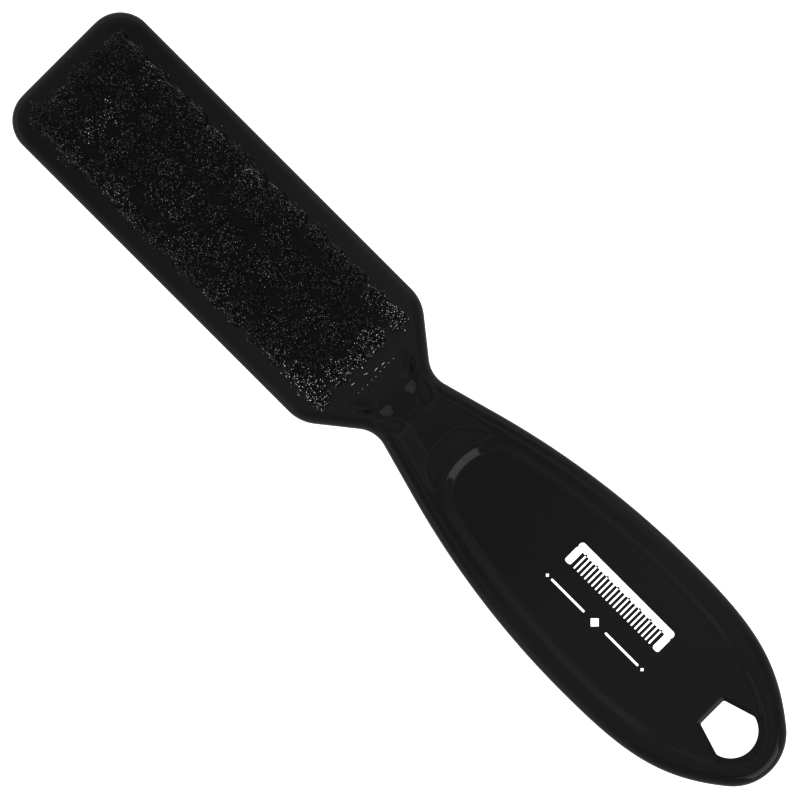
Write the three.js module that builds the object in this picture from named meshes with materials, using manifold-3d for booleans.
// Fade brush: a flat barber's cleaning brush, moulded in one piece with its handle
// and filled with 75 tufts of nylon bristle in fifteen rows of five.
//
// Units are millimetres. The brush lies on its back: X runs along it from the head
// (-X) to the hanging end (+X), Y runs across it, and Z points up through the bristles.
// The origin is under the middle of the brush, on the surface that it lies on.

import * as THREE from 'three';
import { mergeVertices } from 'three/addons/utils/BufferGeometryUtils.js';
import Module from 'manifold-3d';

const wasm = await Module();
wasm.setup();

// Driving dimensions
const LENGTH = 175;
const BODY_THICK = 8;
const EDGE_ROUND = 2.2;
const GAP = 0.3;
const CUT_PAST = 1;
const SAME_POINT = 0.02;

// Head
const HEAD_HALF_WIDTH = 15.1;
const HEAD_CORNER_R = 6.1;
const HEAD_SIDE_END = 71.5;
const SHOULDER_R = 7.7;
const TAPER_ANGLE = THREE.MathUtils.degToRad(38.7);

// Neck
const WAIST_X = 85.9;
const WAIST_HALF_WIDTH = 7.3;
const WAIST_R = 5.5;
const FLARE_ANGLE = THREE.MathUtils.degToRad(15.9);

// Handle
const HANDLE_HALF_WIDTH = 16;
const HANDLE_WIDEST_X = 139.5;
const HANDLE_SIDE_R = 158;
const HANDLE_END_R = 9.4;
const END_TANGENT_ANGLE = THREE.MathUtils.degToRad(51.1);
const SIDE_PULL = 15;
const END_PULL = 12;

// Recessed panel on both faces of the handle
const PANEL_START = { x: 98.8, halfWidth: 3, bow: 0.4 };
const PANEL_CORNER = { x: 104, pullX: 3.4, pullY: 1.1 };
const RIM_WIDTH = 4.15;
const RIM_END_WIDTH = 3.7;
const PANEL_DEPTH = 0.8;

// Hang hole
const HOLE_START = { x: 160.1, halfWidth: 2.9 };
const HOLE_SIDE_END_X = 166.2;
const HOLE_NOSE = { x: 165, radius: 4.85 };

// Valley between the two rails of the neck, and the dimples beside its blunt nose
const VALLEY_X = 90.2;
const VALLEY_HALF = { length: 11.3, width: 7.45, depth: 3.4 };
const VALLEY_RISE = 2;
const DIMPLE_X = 80.6;
const DIMPLE_Y = 5.6;
const DIMPLE_HALF = { length: 3.2, width: 1.7, depth: 1.2 };

// Tufts
const ROWS = 15;
const TUFTS_PER_ROW = 5;
const FIRST_ROW_X = 5.7;
const ROW_PITCH = 4.84;
const TUFT_PITCH = 4.9;
const TUFT_SIDES = 8;
const HOLE_R = 1.4;
const HOLE_DEPTH = 5;
const TUFT_BASE_R = 1;
const TUFT_TIP_R = 2.2;
const PARTNER_SPREAD = 1.25;
const TUFT_NECK = 0.6;
const BRISTLE_LENGTH = 17;
const TIP_ROUND = 1;
const TIP_FLAT = 0.75;

// A row's outer tufts lean on each other in pairs, left and right of its middle tuft,
// seen from the handle.
const ROW_GROUPS = [
  { name: 'left', columns: [0, 1] },
  { name: 'middle', columns: [2] },
  { name: 'right', columns: [3, 4] },
];

const plastic = new THREE.MeshStandardMaterial({ color: 0x161616, roughness: 0.42, metalness: 0 });
const nylon = new THREE.MeshStandardMaterial({ color: 0x0e0e0f, roughness: 0.55, metalness: 0 });

// X in the part's frame for a distance from the head end.
function along(fromHeadEnd) {
  return fromHeadEnd - LENGTH / 2;
}

function tuftY(column) {
  return (column - (TUFTS_PER_ROW - 1) / 2) * TUFT_PITCH;
}

function rowX(row) {
  return along(FIRST_ROW_X + row * ROW_PITCH);
}

// Geometry to solid, and back.
function solid(geometry) {
  const bare = geometry.clone();
  bare.deleteAttribute('normal');
  bare.deleteAttribute('uv');
  const merged = mergeVertices(bare, 1e-4);
  return new wasm.Manifold(new wasm.Mesh({
    numProp: 3,
    vertProperties: new Float32Array(merged.attributes.position.array),
    triVerts: new Uint32Array(merged.index.array),
  }));
}

function geometryOf(manifold) {
  const mesh = manifold.getMesh();
  const geometry = new THREE.BufferGeometry();
  geometry.setAttribute('position', new THREE.BufferAttribute(mesh.vertProperties, 3));
  geometry.setIndex(new THREE.BufferAttribute(mesh.triVerts, 1));
  geometry.computeVertexNormals();
  return geometry;
}

function meshOf(manifold, name, material) {
  const mesh = new THREE.Mesh(geometryOf(manifold), material);
  mesh.name = name;
  return mesh;
}

// Points of an arc, from its start angle to its end angle.
function arcPoints(x, y, radius, start, end, steps) {
  return new THREE.EllipseCurve(x, y, radius, radius, start, end, end < start).getPoints(steps);
}

// A closed shape from one side's points, given from the head end to the hanging end.
function mirroredShape(side) {
  const other = side.map((p) => new THREE.Vector2(p.x, -p.y)).reverse();
  const points = [...side, ...other].filter((p, i, all) => {
    const next = all[(i + 1) % all.length];
    return p.distanceTo(next) > SAME_POINT;
  });
  return new THREE.Shape(points.reverse());
}

// The handle's side from its widest place round to the tip, set in by a distance.
function handleEnd(inset, endInset, steps) {
  const endRadius = HANDLE_END_R - endInset;
  const endX = along(LENGTH - HANDLE_END_R);
  const widest = new THREE.Vector2(along(HANDLE_WIDEST_X), HANDLE_HALF_WIDTH - inset);
  const joint = new THREE.Vector2(
    endX + endRadius * Math.cos(END_TANGENT_ANGLE),
    endRadius * Math.sin(END_TANGENT_ANGLE),
  );
  const shrink = 1 - inset / HANDLE_HALF_WIDTH;
  const sidePull = new THREE.Vector2(widest.x + SIDE_PULL * Math.sqrt(shrink), widest.y);
  const endPull = new THREE.Vector2(
    joint.x - END_PULL * shrink * Math.sin(END_TANGENT_ANGLE),
    joint.y + END_PULL * shrink * Math.cos(END_TANGENT_ANGLE),
  );
  const side = new THREE.CubicBezierCurve(widest, sidePull, endPull, joint).getPoints(steps);
  const tip = arcPoints(endX, 0, endRadius, END_TANGENT_ANGLE, 0, steps / 2);
  return [...side, ...tip.slice(1)];
}

function bodySide() {
  const quarter = Math.PI / 2;
  const cornerX = along(HEAD_CORNER_R);
  const cornerY = HEAD_HALF_WIDTH - HEAD_CORNER_R;
  const corner = arcPoints(cornerX, cornerY, HEAD_CORNER_R, Math.PI, quarter, 7);
  const shoulderX = along(HEAD_SIDE_END);
  const shoulderY = HEAD_HALF_WIDTH - SHOULDER_R;
  const shoulder = arcPoints(shoulderX, shoulderY, SHOULDER_R, quarter, quarter - TAPER_ANGLE, 5);
  const waistY = WAIST_HALF_WIDTH + WAIST_R;
  const waist = arcPoints(along(WAIST_X), waistY, WAIST_R, -quarter - TAPER_ANGLE, FLARE_ANGLE - quarter, 6);
  const sideX = along(HANDLE_WIDEST_X);
  const sideY = HANDLE_HALF_WIDTH - HANDLE_SIDE_R;
  const side = arcPoints(sideX, sideY, HANDLE_SIDE_R, quarter + FLARE_ANGLE, quarter, 8);
  return [...corner, ...shoulder, ...waist, ...side, ...handleEnd(0, 0, 10).slice(1)];
}

function panelSide() {
  const sideR = HANDLE_SIDE_R - RIM_WIDTH;
  const centre = new THREE.Vector2(along(HANDLE_WIDEST_X), HANDLE_HALF_WIDTH - HANDLE_SIDE_R);
  const cornerX = along(PANEL_CORNER.x);
  const startAngle = Math.PI / 2 + Math.asin((centre.x - cornerX) / sideR);
  const side = arcPoints(centre.x, centre.y, sideR, startAngle, Math.PI / 2, 8);
  const start = new THREE.Vector2(along(PANEL_START.x), 0);
  const shoulder = new THREE.Vector2(start.x + PANEL_START.bow, PANEL_START.halfWidth);
  const cornerPull = new THREE.Vector2(cornerX - PANEL_CORNER.pullX, side[0].y - PANEL_CORNER.pullY);
  const corner = new THREE.QuadraticBezierCurve(shoulder, cornerPull, side[0]).getPoints(6);
  return [start, ...corner, ...side.slice(1), ...handleEnd(RIM_WIDTH, RIM_END_WIDTH, 10).slice(1)];
}

function holeSide() {
  const noseAngle = Math.acos((HOLE_SIDE_END_X - HOLE_NOSE.x) / HOLE_NOSE.radius);
  return [
    new THREE.Vector2(along(HOLE_START.x), HOLE_START.halfWidth),
    ...arcPoints(along(HOLE_NOSE.x), 0, HOLE_NOSE.radius, noseAngle, 0, 7),
  ];
}

// A straight-sided block of a shape, from one height to another.
function block(side, bottom, top) {
  const geometry = new THREE.ExtrudeGeometry(mirroredShape(side), {
    depth: top - bottom,
    bevelEnabled: false,
    steps: 1,
  });
  return solid(geometry.translate(0, 0, bottom));
}

function bodyBlank() {
  const geometry = new THREE.ExtrudeGeometry(mirroredShape(bodySide()), {
    depth: BODY_THICK - 2 * EDGE_ROUND,
    bevelEnabled: true,
    bevelThickness: EDGE_ROUND,
    bevelSize: EDGE_ROUND,
    bevelOffset: -EDGE_ROUND,
    bevelSegments: 3,
    steps: 1,
  });
  return solid(geometry.translate(0, 0, EDGE_ROUND));
}

// An ellipsoid that scoops a hollow out of the top face.
function scoop(x, y, z, half) {
  const geometry = new THREE.SphereGeometry(1, 16, 10);
  geometry.scale(half.length, half.width, half.depth);
  return solid(geometry.translate(along(x), y, z));
}

function tuftHole(row, column) {
  const geometry = new THREE.CylinderGeometry(HOLE_R, HOLE_R, HOLE_DEPTH + CUT_PAST, TUFT_SIDES);
  geometry.rotateX(Math.PI / 2);
  const middle = BODY_THICK + (CUT_PAST - HOLE_DEPTH) / 2;
  return solid(geometry.translate(rowX(row), tuftY(column), middle));
}

function handleBody() {
  let body = bodyBlank();
  body = body.subtract(scoop(VALLEY_X, 0, BODY_THICK + VALLEY_RISE, VALLEY_HALF));
  for (const side of [-1, 1]) {
    body = body.subtract(scoop(DIMPLE_X, side * DIMPLE_Y, BODY_THICK, DIMPLE_HALF));
  }
  body = body.subtract(block(panelSide(), BODY_THICK - PANEL_DEPTH, BODY_THICK + CUT_PAST));
  body = body.subtract(block(panelSide(), -CUT_PAST, PANEL_DEPTH));
  body = body.subtract(block(holeSide(), -CUT_PAST, BODY_THICK + CUT_PAST));
  for (let row = 0; row < ROWS; row += 1) {
    for (let column = 0; column < TUFTS_PER_ROW; column += 1) {
      body = body.subtract(tuftHole(row, column));
    }
  }
  return meshOf(body, 'handle_body', plastic);
}

// One tuft: a straight base held in its hole, then bristles that open to a domed tip.
// On the side of its partner, +1 or -1 along Y, it opens wide enough to touch it.
function tuft(row, column, partnerSide) {
  const bottom = BODY_THICK - HOLE_DEPTH + GAP;
  const mouth = BODY_THICK + TUFT_NECK;
  const top = BODY_THICK + BRISTLE_LENGTH;
  const profile = [
    new THREE.Vector2(0, bottom),
    new THREE.Vector2(TUFT_BASE_R, bottom),
    new THREE.Vector2(TUFT_BASE_R, mouth),
    new THREE.Vector2(TUFT_TIP_R, top - TIP_ROUND),
    new THREE.Vector2(TUFT_TIP_R * TIP_FLAT, top),
    new THREE.Vector2(0, top),
  ];
  const geometry = new THREE.LatheGeometry(profile, TUFT_SIDES);
  geometry.rotateX(Math.PI / 2);
  const position = geometry.attributes.position;
  for (let i = 0; i < position.count; i += 1) {
    const rise = Math.max(0, (position.getZ(i) - mouth) / (top - mouth));
    const facing = position.getY(i) * partnerSide > 0 ? 1 : 0;
    position.setY(i, position.getY(i) * (1 + facing * (PARTNER_SPREAD - 1) * rise));
  }
  return solid(geometry.translate(rowX(row), tuftY(column), 0));
}

// The tufts of one group of a row, joined where they touch.
function tuftGroup(row, group) {
  const last = group.columns.length - 1;
  let joined = tuft(row, group.columns[0], last);
  for (const column of group.columns.slice(1)) {
    joined = joined.add(tuft(row, column, -last));
  }
  const number = String(row + 1).padStart(2, '0');
  return meshOf(joined, `tuft_row_${number}_${group.name}`, nylon);
}

const brush = new THREE.Group();
brush.add(handleBody());
for (let row = 0; row < ROWS; row += 1) {
  for (const group of ROW_GROUPS) {
    brush.add(tuftGroup(row, group));
  }
}

export default brush;
